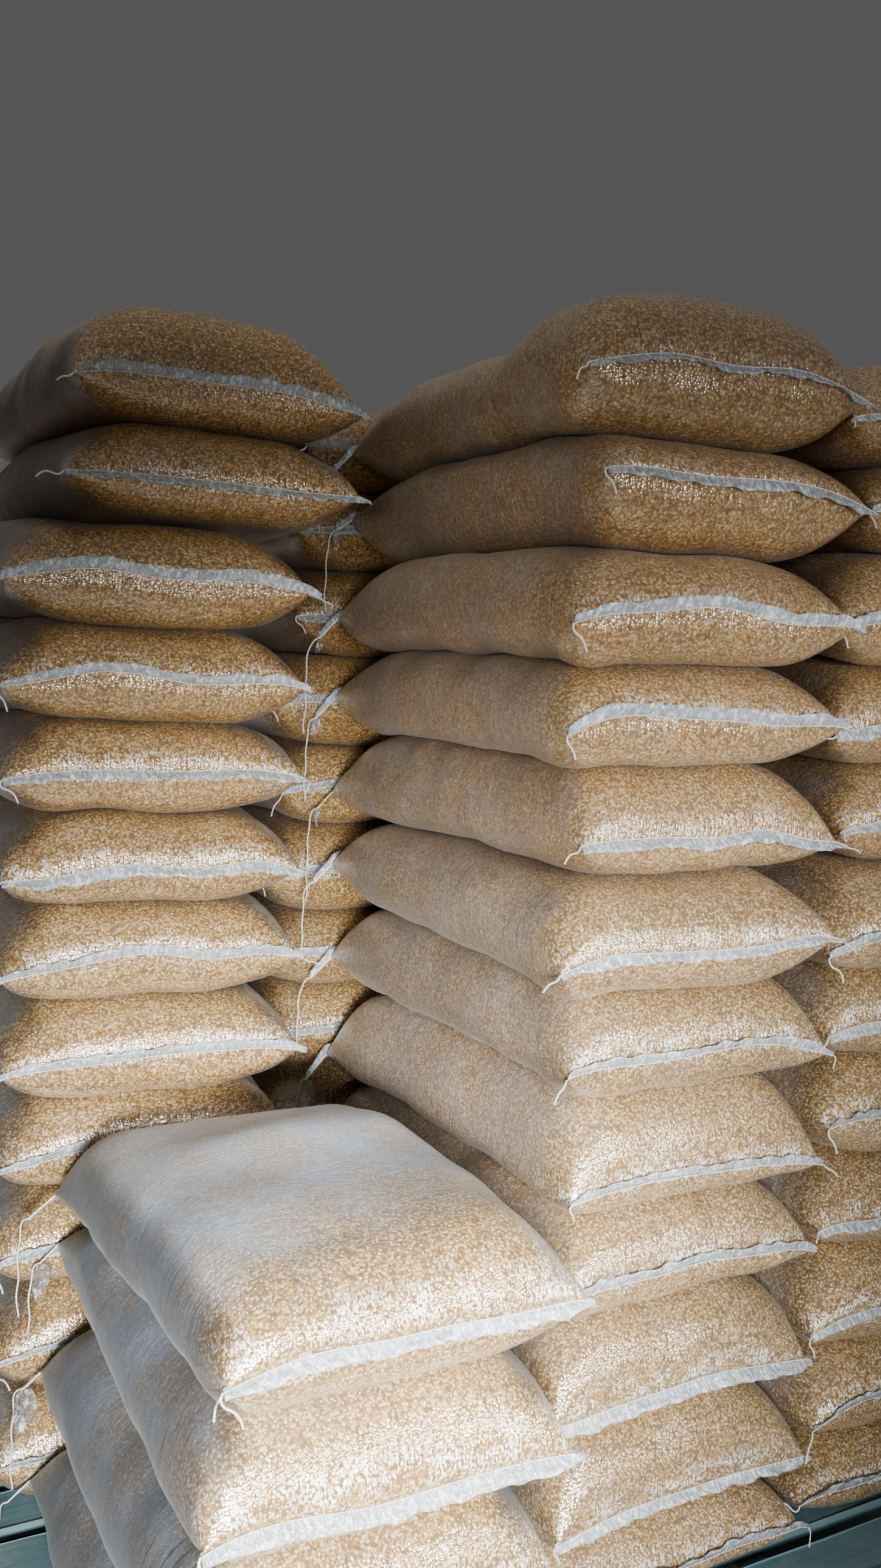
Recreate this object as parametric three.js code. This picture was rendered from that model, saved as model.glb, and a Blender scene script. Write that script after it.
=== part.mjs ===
// A pallet of filled grain sacks: five stacks of sacks standing on one painted timber pallet.
// Millimetres, +Z up. X runs along the sewn ends of the sacks and Y along their long sides.
// The origin is the middle of the pallet's footprint, on the floor.
import * as THREE from 'three';

// Pallet
const DECK_BOARD = { width: 110, thick: 22, gap: 35, count: 14 };
const PALLET_WIDTH = 1900;
const PALLET_DEPTH = DECK_BOARD.count * DECK_BOARD.width + (DECK_BOARD.count - 1) * DECK_BOARD.gap;
const BEARER = { width: 75, height: 100, count: 4 };
const BASE_BOARD = { width: 110, thick: 18, places: ['front', 'middle', 'back'] };
const DECK_TOP = BASE_BOARD.thick + BEARER.height + DECK_BOARD.thick;
const DECK_GAP_FLOOR = 3;

// One filled sack, lying on its flat side
const SACK_WIDTH = 536;
const SACK_LENGTH = 885;
const WAIST = 8;
const SIDE_ROUND = 85;
const CORNER_TAPER = 80;
const NEAR_ROUND = 105;
const FAR_ROUND = 160;
const SIDE_DROOP = 16;
const END_DROOP = 30;
const TOP_CROWN = 28;

// Clearances between solids, and two sacks that share one layer
const REST_GAP = 0.3;
const CONTACT_GAP = 0.6;
const TWIN_GAP = 10;
const TWIN_WEB = 0.06;

// Where the first stack's near left corner lies from the pallet's middle
const CORNER = { x: -170, y: -765 };

// Each stack: its near left corner from that corner, the thickness of its layers from the deck
// up, how high in each sack its sewn seams lie, and how far each sack has slid [right, back, turn
// in degrees]. The two upper sacks of the left stack sit further right than the ones below.
// keepsLeft is for the stacks whose near left corners stay full while the right ones taper.
const MAIN_DRIFT = [
  [15, 5, 0], [30, 0, 2], [10, 0, 1], [15, 5, 1.5], [25, 10, 1.5], [0, 0, 0],
  [-45, -35, -1.5], [6, 5, 1], [-40, -10, -1.5], [-50, -30, -1.5], [18, 5, 0], [-16, 18, -2],
];
const MAIN = {
  name: 'main_sack', x: -6, y: 0,
  layers: [145, 182, 185, 166, 189, 176, 170, 172, 162, 170, 172, 153],
  seams: [0.4, 0.28, 0.38, 0.45, 0.31, 0.45, 0.6, 0.46, 0.6, 0.6, 0.74, 0.6],
  drift: MAIN_DRIFT,
  swell: { height: 62, from: -0.15, to: -0.6 },
  keepsLeft: true,
};
const RIGHT = {
  name: 'right_sack', x: MAIN.x + SACK_WIDTH + 8, y: 22, length: 875,
  layers: [150, 180, 185, 165, 190, 175, 170, 175, 180, 180, 155, 160],
  seam: 0.52,
  drift: MAIN_DRIFT,
};
const LEFT = {
  name: 'left_sack', x: -716, y: 600,
  layers: [210, 200, 175, 165, 172, 168, 157, 161, 164, 173],
  seam: 0.57,
  drift: [
    [0, 30, 0], [5, 34, 0.5], [0, 32, -0.5], [4, 30, 0.5], [2, 4, 0],
    [0, 0, 0.5], [-4, 2, -0.5], [-6, 5, 0.5], [-9, 0, 0], [-6, 6, -1],
  ],
  covered: true,
};
const LEFT_TOP = {
  name: 'left_sack', x: -626, y: 604,
  layers: [165, 165],
  seam: 0.42,
  drift: [[0, 0, 0], [6, 4, 1]],
  first: LEFT.layers.length + 1,
  rise: LEFT.layers.reduce((sum, thick) => sum + thick, 0),
  swell: { height: 32, from: 0.2, to: -0.5 },
};
const BACK = {
  name: 'back_sacks', x: -128, y: 918, length: 830, twin: true,
  layers: [160, 170, 170, 170, 175, 155, 185, 170, 185, 180, 165, 165],
  seam: 0.6,
  drift: [
    [5, 4, 0], [-10, 0, 0], [10, 6, 0], [0, 2, 0], [-25, 8, 0], [-10, 0, 0],
    [-15, 4, 0], [20, 6, 0], [-15, 0, 0], [35, 4, 0], [35, 2, 0], [45, 6, 0],
  ],
};
const FRONT = {
  name: 'front_sack', x: -608, y: -200, length: 800,
  layers: [205, 213, 178, 170],
  seams: [0.5, 0.5, 0.42, 0.62],
  farSeams: [0.5, 0.6, 0.8, 0.35],
  drift: [[-45, 18, 0], [-35, 8, 0], [-18, 10, -1], [0, 0, 1.2]],
  swell: { height: -35, from: 0, to: 0.9 },
  keepsLeft: true,
};
const STACKS = [MAIN, RIGHT, LEFT, LEFT_TOP, BACK, FRONT];

// Colours of the filled bags and of the painted timber
const SACK_FINISH = { color: 0xc9974f, roughness: 0.55, metalness: 0 };
const TIMBER_FINISH = { color: 0x5f8a90, roughness: 0.7, metalness: 0 };

// Grid lines of a sack, as shares of its half width and half length. The inner ones stay where
// they are in the stack when a sack slides, so that the faces that rest on each other match.
const ACROSS = [-1, -0.9, -0.62, 0, 0.62, 0.9, 1];
const ALONG = [-1, -0.93, -0.76, -0.3, 0.3, 0.7, 0.9, 1];
const INNER_SHARE = 0.8;

const model = new THREE.Group();

function addMesh(name, geometry, finish) {
  const mesh = new THREE.Mesh(geometry, new THREE.MeshStandardMaterial({ flatShading: true, ...finish }));
  mesh.name = name;
  model.add(mesh);
  return mesh;
}

// How full a sack is at a distance in from its rounded edge, from 0 to 1
function fullness(inset, radius) {
  const reach = Math.min(Math.max(inset, 0) / radius, 1);
  return Math.sqrt(1 - (1 - reach) ** 2);
}

function smoothStep(share) {
  const t = Math.min(Math.max(share, 0), 1);
  return t * t * (3 - 2 * t);
}

function levelHeight(stack, level) {
  const filled = stack.layers.slice(0, level);
  return DECK_TOP + (stack.rise ?? 0) + filled.reduce((sum, thick) => sum + thick, 0);
}

// The surface on which one layer rests on the next: level at the stack's foot, and drooping to
// the edges of the stack from the second layer up
function restingHeight(stack, level, x, y) {
  const size = stackSize(stack);
  const settle = Math.min(level, 2) / 2;
  const side = SIDE_DROOP * (x / (size.width / 2)) ** 4;
  const end = END_DROOP * (y / (size.length / 2)) ** 4;
  return levelHeight(stack, level) - settle * (side + end);
}

// The free top of the last sack: crowned, and swollen or sunk at the end that the grain has run
// to or from
function crownHeight(stack, x, y) {
  const size = stackSize(stack);
  const across = 2 * x / size.width;
  const along = 2 * y / size.length;
  const crown = TOP_CROWN * (1 - across ** 2) * (1 - along ** 2);
  const swell = stack.swell;
  const lift = swell
    ? swell.height * smoothStep((swell.from - along) / (swell.from - swell.to)) * (1 - 0.5 * across ** 2)
    : 0;
  return restingHeight(stack, stack.layers.length, x, y) + crown + lift;
}

function stackSize(stack) {
  return {
    width: stack.twin ? 2 * SACK_WIDTH + TWIN_GAP : SACK_WIDTH,
    length: stack.length ?? SACK_LENGTH,
  };
}

// Grid lines across the layer: one sack's own, or two sacks side by side
function linesAcross(stack) {
  const { width } = stackSize(stack);
  const lineOf = (share, middle) => ({
    share: (middle + share * SACK_WIDTH / 2) / (width / 2),
    inner: Math.abs(share) < INNER_SHARE,
  });
  if (!stack.twin) return ACROSS.map((share) => lineOf(share, 0));
  const aside = (SACK_WIDTH + TWIN_GAP) / 2;
  const left = ACROSS.slice(0, -1).map((share) => lineOf(share, -aside));
  const right = ACROSS.slice(1).map((share) => lineOf(share, aside));
  return [...left, { share: 0, inner: false }, ...right];
}

// How full the layer is at a point: rounded at its edges, more so towards the near corners that
// taper, and nearly cut through between twins
function layerFullness(stack, halfWidth, x, y) {
  const { length } = stackSize(stack);
  const near = fullness(y + length / 2, NEAR_ROUND);
  const far = fullness(length / 2 - y, FAR_ROUND);
  const taper = stack.keepsLeft && x <= 0 ? 0 : CORNER_TAPER * smoothStep(-2 * y / length);
  const sides = fullness(halfWidth - Math.abs(x), SIDE_ROUND + taper);
  const cleft = stack.twin ? Math.max(TWIN_WEB, fullness(Math.abs(x), SIDE_ROUND)) : 1;
  return near * far * sides * cleft;
}

// From a sack's own place to its stack's, turned about its near left corner, and back
function slideOf(stack, layer) {
  const size = stackSize(stack);
  const [right, back, turn] = stack.drift[layer];
  const angle = THREE.MathUtils.degToRad(turn);
  const corner = new THREE.Vector2(-size.width / 2, -size.length / 2);
  const step = new THREE.Vector2(right, back);
  return {
    toStack: (point) => point.clone().rotateAround(corner, angle).add(step),
    toSack: (point) => point.clone().sub(step).rotateAround(corner, -angle),
  };
}

// How high the seam line lies in a sack, from its bottom to its top
function seamShare(stack, layer, alongShare) {
  const near = stack.seams ? stack.seams[layer] : stack.seam;
  const far = stack.farSeams ? stack.farSeams[layer] : near;
  return near + (far - near) * smoothStep((1 + alongShare) / 2);
}

// One closed sack, or one layer of two: an upper and a lower skin that meet at its outline
function sackGeometry(stack, layer) {
  const size = stackSize(stack);
  const slide = slideOf(stack, layer);
  const across = linesAcross(stack);
  const isTop = layer === stack.layers.length - 1 && !stack.covered;
  const positions = [];
  const upper = [];
  const lower = [];
  ALONG.forEach((alongShare, row) => {
    across.forEach((line, column) => {
      const halfWidth = size.width / 2 - WAIST * alongShare ** 2;
      const drawn = new THREE.Vector2(line.share * halfWidth, alongShare * size.length / 2);
      const isInner = line.inner && Math.abs(alongShare) < INNER_SHARE;
      const spot = isInner ? drawn : slide.toStack(drawn);
      const own = isInner ? slide.toSack(drawn) : drawn;

      const floorGap = layer === 0 ? REST_GAP : CONTACT_GAP / 2;
      const bottom = restingHeight(stack, layer, spot.x, spot.y) + floorGap;
      const top = isTop
        ? crownHeight(stack, spot.x, spot.y)
        : restingHeight(stack, layer + 1, spot.x, spot.y) - CONTACT_GAP / 2;
      const seam = bottom + seamShare(stack, layer, alongShare) * (top - bottom);
      const full = layerFullness(stack, halfWidth, own.x, own.y);
      const placeX = CORNER.x + stack.x + size.width / 2 + spot.x;
      const placeY = CORNER.y + stack.y + size.length / 2 + spot.y;
      const isEdge = row % (ALONG.length - 1) === 0 || column % (across.length - 1) === 0;
      const index = positions.length / 3;
      positions.push(placeX, placeY, isEdge ? seam : seam + full * (top - seam));
      upper.push(index);
      if (isEdge) {
        lower.push(index);
      } else {
        positions.push(placeX, placeY, seam - full * (seam - bottom));
        lower.push(index + 1);
      }
    });
  });

  const faces = [];
  const count = across.length;
  for (let row = 0; row < ALONG.length - 1; row += 1) {
    for (let column = 0; column < count - 1; column += 1) {
      const a = row * count + column;
      const b = a + 1;
      const c = a + count;
      const d = c + 1;
      faces.push(upper[a], upper[b], upper[d], upper[a], upper[d], upper[c]);
      faces.push(lower[a], lower[d], lower[b], lower[a], lower[c], lower[d]);
    }
  }
  const geometry = new THREE.BufferGeometry();
  geometry.setAttribute('position', new THREE.Float32BufferAttribute(positions, 3));
  geometry.setIndex(faces);
  geometry.computeVertexNormals();
  return geometry;
}

// The deck: boards side by side as one solid, with the gaps between them cut into its upper face
function deckGeometry() {
  const { width, thick, gap, count } = DECK_BOARD;
  const outline = new THREE.Shape();
  outline.moveTo(0, 0);
  outline.lineTo(PALLET_DEPTH, 0);
  for (let board = count - 1; board >= 0; board -= 1) {
    const start = board * (width + gap);
    outline.lineTo(start + width, thick);
    outline.lineTo(start, thick);
    if (board > 0) {
      outline.lineTo(start, DECK_GAP_FLOOR);
      outline.lineTo(start - gap, DECK_GAP_FLOOR);
    }
  }
  outline.closePath();
  const geometry = new THREE.ExtrudeGeometry(outline, { depth: PALLET_WIDTH, bevelEnabled: false });
  geometry.rotateX(Math.PI / 2);
  geometry.rotateZ(Math.PI / 2);
  return geometry;
}

function addPallet() {
  const deck = addMesh('deck_boards', deckGeometry(), TIMBER_FINISH);
  deck.position.set(-PALLET_WIDTH / 2, -PALLET_DEPTH / 2, BASE_BOARD.thick + BEARER.height);

  const bearerShape = new THREE.BoxGeometry(BEARER.width, PALLET_DEPTH, BEARER.height);
  const bearerStep = (PALLET_WIDTH - BEARER.width) / (BEARER.count - 1);
  for (let number = 0; number < BEARER.count; number += 1) {
    const bearer = addMesh(`bearer_${number + 1}`, bearerShape, TIMBER_FINISH);
    bearer.position.set(
      -PALLET_WIDTH / 2 + BEARER.width / 2 + number * bearerStep,
      0,
      BASE_BOARD.thick + BEARER.height / 2,
    );
  }

  const boardShape = new THREE.BoxGeometry(PALLET_WIDTH, BASE_BOARD.width, BASE_BOARD.thick);
  const boardStep = (PALLET_DEPTH - BASE_BOARD.width) / (BASE_BOARD.places.length - 1);
  BASE_BOARD.places.forEach((place, number) => {
    const board = addMesh(`base_board_${place}`, boardShape, TIMBER_FINISH);
    board.position.set(
      0,
      -PALLET_DEPTH / 2 + BASE_BOARD.width / 2 + number * boardStep,
      BASE_BOARD.thick / 2,
    );
  });
}

addPallet();
for (const stack of STACKS) {
  for (let layer = 0; layer < stack.layers.length; layer += 1) {
    const label = String(layer + (stack.first ?? 1)).padStart(2, '0');
    addMesh(`${stack.name}_${label}`, sackGeometry(stack, layer), SACK_FINISH);
  }
}

export default model;
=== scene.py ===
"""A pallet of clear maize sacks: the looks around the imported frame."""
import math
import random

import bpy
import numpy as np
from mathutils import Matrix, Vector


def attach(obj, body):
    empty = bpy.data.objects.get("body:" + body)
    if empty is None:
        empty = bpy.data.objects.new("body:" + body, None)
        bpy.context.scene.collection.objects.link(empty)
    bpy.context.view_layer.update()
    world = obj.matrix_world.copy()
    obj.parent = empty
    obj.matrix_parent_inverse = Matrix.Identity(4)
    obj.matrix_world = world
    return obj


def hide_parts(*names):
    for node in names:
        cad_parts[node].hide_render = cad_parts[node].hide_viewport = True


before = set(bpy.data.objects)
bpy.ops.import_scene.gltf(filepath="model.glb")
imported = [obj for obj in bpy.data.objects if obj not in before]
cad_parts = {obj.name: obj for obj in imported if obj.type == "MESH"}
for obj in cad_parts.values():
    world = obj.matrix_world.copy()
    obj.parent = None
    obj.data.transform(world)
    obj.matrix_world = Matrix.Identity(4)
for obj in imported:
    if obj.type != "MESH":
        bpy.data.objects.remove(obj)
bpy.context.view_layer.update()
MM = 0.001
UP = Vector((0, 0, 1))

# The photograph's camera, found from the ends of the sewn seams
PHOTO_HEIGHT = 2576
FOCAL_PIXELS = 2200
SENSOR_HEIGHT = 24
CAMERA_PLACE = Vector((-1.287, -2.383, 1.64))
CAMERA_HEADING = Vector((0.4772, 0.8788, 0))
CAMERA_PITCH = math.radians(4.72)
CAMERA_ROLL = math.radians(2.5)

# The pallet, in millimetres, as in the part's source
BOARD = {"width": 110, "thick": 22, "gap": 35, "count": 14}
PALLET_WIDTH = 1900
PALLET_DEPTH = BOARD["count"] * BOARD["width"] + (BOARD["count"] - 1) * BOARD["gap"]
BEARER = {"width": 75, "height": 100, "count": 4}
BASE_BOARD = {"width": 110, "thick": 18}
DECK_TOP = BASE_BOARD["thick"] + BEARER["height"] + BOARD["thick"]

# One filled sack, in millimetres, as in the part's source
SACK_WIDTH = 536
SACK_LENGTH = 885
WAIST = 8
SIDE_ROUND = 85
CORNER_TAPER = 80
NEAR_ROUND = 105
FAR_ROUND = 160
SIDE_DROOP = 16
END_DROOP = 30
TOP_CROWN = 28
REST_GAP = 0.3
CONTACT_GAP = 0.6
TWIN_GAP = 10
CORNER = (-170, -765)

# The stacks, as in the part's source: where each starts from CORNER, the height of each layer, how
# high the seams sit between a sack's bottom and top, how far each sack has slid right and back and
# turned in degrees, the sides that narrow at the near end, and the extra height of the last sack
# between two places along it. LEFT_TOP goes on above LEFT, which it covers: first is the number
# of its first sack, and rise its height above the deck.
#
# For the looks: dim is the painted shade, how much darker the long sides are painted,
# cool how blue the haze is, as painted reflection of bluish surroundings, milk_and_sheen how thick
# the haze gets, partly milky film and partly painted sheen, veil how thick it is at least,
# haze_starts how far in from the seam the haze on top begins at the left and right, far_clear how
# much of it the far end loses, taut how far the seam's pull reaches, and lift how much
# lighter the top's far part is painted, as sheen from the sky. mesh counts the steps round each
# end, along the middle, round each side, across the middle and along a seam's trim.
FINE = {"near": 16, "far": 14, "along": 44, "side": 12, "across": 28, "trim": 90}
MIDDLING = {"near": 12, "far": 10, "along": 30, "side": 9, "across": 18, "trim": 60}
COARSE = {"near": 9, "far": 9, "along": 20, "side": 7, "across": 12, "trim": 36}
MAIN_DRIFT = (
    (15, 5, 0), (30, 0, 2), (10, 0, 1), (15, 5, 1.5), (25, 10, 1.5), (0, 0, 0),
    (-45, -35, -1.5), (6, 5, 1), (-40, -10, -1.5), (-50, -30, -1.5), (18, 5, 0), (-16, 18, -2),
)
MAIN = {
    "name": "main_sack", "x": -6, "y": 0, "taper": "right", "mesh": FINE,
    "dim": 0.0, "cool": 0.1, "milk_and_sheen": 0.62, "veil": 0.17,
    "layers": (145, 182, 185, 166, 189, 176, 170, 172, 162, 170, 172, 153),
    "seams": (0.4, 0.28, 0.38, 0.45, 0.31, 0.45, 0.6, 0.46, 0.6, 0.6, 0.74, 0.6),
    "drift": MAIN_DRIFT,
    "swell": {"height": 62, "from": -0.15, "to": -0.6},
}
RIGHT = {
    "name": "right_sack", "x": MAIN["x"] + SACK_WIDTH + 8, "y": 22, "length": 875,
    "taper": "both", "mesh": MIDDLING,
    "dim": 0.3, "cool": 0.3, "milk_and_sheen": 0.55, "veil": 0.12,
    "layers": (150, 180, 185, 165, 190, 175, 170, 175, 180, 180, 155, 160),
    "seam": 0.52,
    "drift": MAIN_DRIFT,
}
LEFT_SACKS = {"name": "left_sack", "taper": "both", "mesh": FINE, "dim": 0.4, "cool": 0.55, "milk_and_sheen": 0.75}
LEFT = {
    **LEFT_SACKS, "x": -716, "y": 600, "covered": True,
    "layers": (210, 200, 175, 165, 172, 168, 157, 161, 164, 173),
    "seam": 0.57,
    "drift": (
        (0, 30, 0), (5, 34, 0.5), (0, 32, -0.5), (4, 30, 0.5), (2, 4, 0),
        (0, 0, 0.5), (-4, 2, -0.5), (-6, 5, 0.5), (-9, 0, 0), (-6, 6, -1),
    ),
}
LEFT_TOP = {
    **LEFT_SACKS, "x": -626, "y": 604,
    "layers": (165, 165),
    "seam": 0.42,
    "drift": ((0, 0, 0), (6, 4, 1)),
    "first": len(LEFT["layers"]) + 1,
    "rise": sum(LEFT["layers"]),
    "swell": {"height": 32, "from": 0.2, "to": -0.5},
}
BACK = {
    "name": "back_sacks", "x": -128, "y": 918, "length": 830, "twin": True,
    "taper": "both", "mesh": COARSE,
    "dim": 0.2, "cool": 0.3, "milk_and_sheen": 0.55,
    "layers": (160, 170, 170, 170, 175, 155, 185, 170, 185, 180, 165, 165),
    "seam": 0.6,
    "drift": (
        (5, 4, 0), (-10, 0, 0), (10, 6, 0), (0, 2, 0), (-25, 8, 0), (-10, 0, 0),
        (-15, 4, 0), (20, 6, 0), (-15, 0, 0), (35, 4, 0), (35, 2, 0), (45, 6, 0),
    ),
}
FRONT = {
    "name": "front_sack", "x": -608, "y": -200, "length": 800, "taper": "right", "mesh": FINE,
    "dim": 0.64, "cool": 0.85, "milk_and_sheen": 1.0, "lift": 0.6,
    "haze_starts": (-110, 60), "far_clear": 0.5, "taut": 80,
    "layers": (205, 213, 178, 170),
    "seams": (0.5, 0.5, 0.42, 0.62),
    "far_seams": (0.5, 0.6, 0.8, 0.35),
    "swell": {"height": -35, "from": 0, "to": 0.9},
    "drift": ((-45, 18, 0), (-35, 8, 0), (-18, 10, -1), (0, 0, 1.2)),
}
STACKS = (MAIN, RIGHT, LEFT, LEFT_TOP, BACK, FRONT)

# Two fold lines across the top main sack's long side: distance from its near end, depth and width
TOP_FOLDS = ((290, 5, 14), (325, 4, 12))

# From which layer on the sacks lie as unevenly as they do higher up
SETTLED_LAYERS = 2

# How uneven the filled bags are, in millimetres. A wave is its height, its shortest and longest
# wavelength and, for the skin, how many waves are added up.
SETTLE_WAVE = (2.5, 170, 420)
SEAM_WAVE = (3.5, 170, 420)
SIDE_WAVE = (2.5, 180, 400)
SKIN_WAVE = (1.25, 90, 220, 9)
TOP_WAVE = (2, 220, 480)
HAZE_WAVE = (14, 90, 300)
END_BULGE = 7
SIDE_BULGE = 2

# How much weaker the kernels and the painted glints show in the dim top of the pile, where less light
# falls, and the height in metres from which and over which they fade
DULL_TOP = 0.72
DULL_FROM = 0.9
DULL_OVER = 1.2

# How far from a seam its pull is seen in the film, in millimetres, and how much of it shows below
SEAM_PULL = 45
PULL_BELOW = 0.28

# Where the haze on top starts, how far it takes to thicken and how much of the sewn end's face it
# leaves clear, in millimetres, and the share of it that the far end loses
HAZE_STARTS = (160, 160)
HAZE_OVER = 330
CLEAR_FACE = 130
FAR_CLEAR = 0.9

# Ramps over how far a point faces its long side, from 0 on the flat to 1 on the outline: where each
# starts and over what share it rises
SIDE_HAZE = (0.08, 0.5)
SIDE_SHADE = (0, 0.34)
TOP_SACK_SHADE = (0.56, 0.34)
SIDE_CREASES = (0.1, 0.4)

# Ramps over the distance from the near end, in millimetres: the same two numbers
HAZE_BESIDE_END = (8, 110)
SHADE_BESIDE_END = (0, 60)
FAR_TOP_SHEEN = (200, 300)

# The clear film beyond each sewn end, in millimetres, and how far it leans, in radians
FLAP_WIDTH = 20
FLAP_LENGTH = 560
FLAP_THICK = 0.7
FLAP_ROOT = 4
FLAP_STEPS = 3
FLAP_ANGLE = 0.95
LEAN_WAVE = (0.1, 90, 260)
RIPPLE_WAVE = (1.6, 22, 60)
RAGGED_WAVE = (1.3, 16, 70)

# How far that film runs past the seam's left and right end, in millimetres, and how much it sinks
# for each millimetre of that
FLAP_ENDS = {
    "near": {"left": (1, 6), "right": (8, 24), "sink": (0.2, 0.6)},
    "far": {"left": (28, 46), "right": (15, 30), "sink": (0.7, 1.1)},
}
RIGHT_SINK = 0.3

# The scraps of film at the far corners of two stacks, in millimetres
SCRAP_LENGTH = {"main_sack": 38, "front_sack": 70}
SCRAP_CHANCE = 0.7
SCRAP_ROWS = 14
SCRAP_COLUMNS = 5
CRUMPLE_WAVE = (2.5, 25, 70)

# The sewing thread and its loose ends, in millimetres, with how many degrees a curl turns a step
THREAD_RADIUS = 0.9
STITCH_PITCH = 8
STITCH_OUT = 1.5
TAIL_RADIUS = 1.6
TAIL_LENGTH = (120, 210)
TAIL_STEP = 4
CURL_LENGTH = (26, 60)
SHORT_CURL_LENGTH = (18, 36)
CURL_STEP = 2
CURL_TURN = (12, 22)

# Thread, timber and the two kinds of empty film, the scraps' one darker as painted shade
THREAD_COLOURS = ((0.62, 0.62, 0.6, 1), (0.84, 0.84, 0.82, 1))
PAINT_COLOURS = ((0.10, 0.185, 0.205, 1), (0.19, 0.29, 0.31, 1))
WOOD_COLOURS = ((0.16, 0.125, 0.09, 1), (0.33, 0.27, 0.2, 1))
DUST = (0.36, 0.36, 0.34, 1)
FLAP_FILM = {"plain": (0.56, 0.61, 0.65, 1), "thinnest": 0.45, "thickest": 0.85}
SHADED_SCRAP_FILM = {"plain": (0.3, 0.3, 0.3, 1), "thinnest": 0.15, "thickest": 0.6}
FOLD_SCALE = (140, 80, 80)
GRAIN_SCALE = (3, 60, 60)

# Worn edges of the timber, in millimetres
WORN_EDGE = 3.5
CHIP_WAVE = (0.9, 60, 220)
PLANK_STATIONS = 16
BOARD_SHORTFALL = (0, 6)

# The studio
FLOOR_SIDE = 28
FLOOR_COLOUR = (0.62, 0.62, 0.61, 1)
WORLD_COLOUR = (0.9, 0.9, 0.9, 1)
WORLD_STRENGTH = 0.12


def dice(*words):
    """A random source of its own for each thing, the same on each run."""
    return random.Random("-".join(str(word) for word in words))


def wave_field(rng, height, shortest, longest, count=6):
    """A smooth uneven surface: a few sine waves in random directions."""
    waves = []
    for _ in range(count):
        heading = rng.uniform(0, math.tau)
        pace = math.tau / rng.uniform(shortest, longest)
        waves.append((pace * math.cos(heading), pace * math.sin(heading), rng.uniform(0, math.tau)))
    share = height / math.sqrt(count / 2)

    def value(x, y):
        return share * sum(np.sin(kx * x + ky * y + start) for kx, ky, start in waves)
    return value


def fullness(inset, radius):
    """How full a sack is at a distance in from its rounded edge, from 0 to 1."""
    reach = np.clip(inset / radius, 0, 1)
    return np.sqrt(1 - (1 - reach) ** 2)


def smooth_step(share):
    share = np.clip(share, 0, 1)
    return share * share * (3 - 2 * share)


def ramp_up(value, span):
    """From 0 to 1 over a span, which is where it starts and how much it covers."""
    start, over = span
    return smooth_step((value - start) / over)


def stack_size(stack):
    width = 2 * SACK_WIDTH + TWIN_GAP if stack.get("twin") else SACK_WIDTH
    return width, stack.get("length", SACK_LENGTH)


def resting_height(stack, level, x, y):
    """The surface on which one layer rests on the next."""
    width, length = stack_size(stack)
    height = DECK_TOP + stack.get("rise", 0) + sum(stack["layers"][:level])
    settle = min(level, SETTLED_LAYERS) / SETTLED_LAYERS
    droop = SIDE_DROOP * (2 * x / width) ** 4 + END_DROOP * (2 * y / length) ** 4
    wave = wave_field(dice(stack["name"], "rest", level + stack.get("first", 1)), *SETTLE_WAVE)
    return height - settle * (droop - wave(x, y))


def crown_height(stack, x, y):
    """The free top of the last sack."""
    width, length = stack_size(stack)
    across = 2 * x / width
    along = 2 * y / length
    crown = TOP_CROWN * (1 - across ** 2) * (1 - along ** 2)
    swell = stack.get("swell")
    if swell:
        share = (swell["from"] - along) / (swell["from"] - swell["to"])
        crown = crown + swell["height"] * smooth_step(share) * (1 - 0.5 * across ** 2)
    wave = wave_field(dice(stack["name"], "crown"), *TOP_WAVE)
    return resting_height(stack, len(stack["layers"]), x, y) + crown + wave(x, y) * (1 - along ** 4)


def edge_steps(near_round, far_round, length, near_count, far_count, middle_count):
    """Stations from one edge to the other: even in angle round the edges, even in length between."""
    near = [near_round * (1 - math.cos(math.pi / 2 * k / near_count)) for k in range(near_count)]
    far = [length - far_round * (1 - math.cos(math.pi / 2 * k / far_count)) for k in range(far_count)]
    middle = np.linspace(near_round, length - far_round, middle_count + 1)
    return np.array(near + list(middle) + far[::-1]) - length / 2


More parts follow.
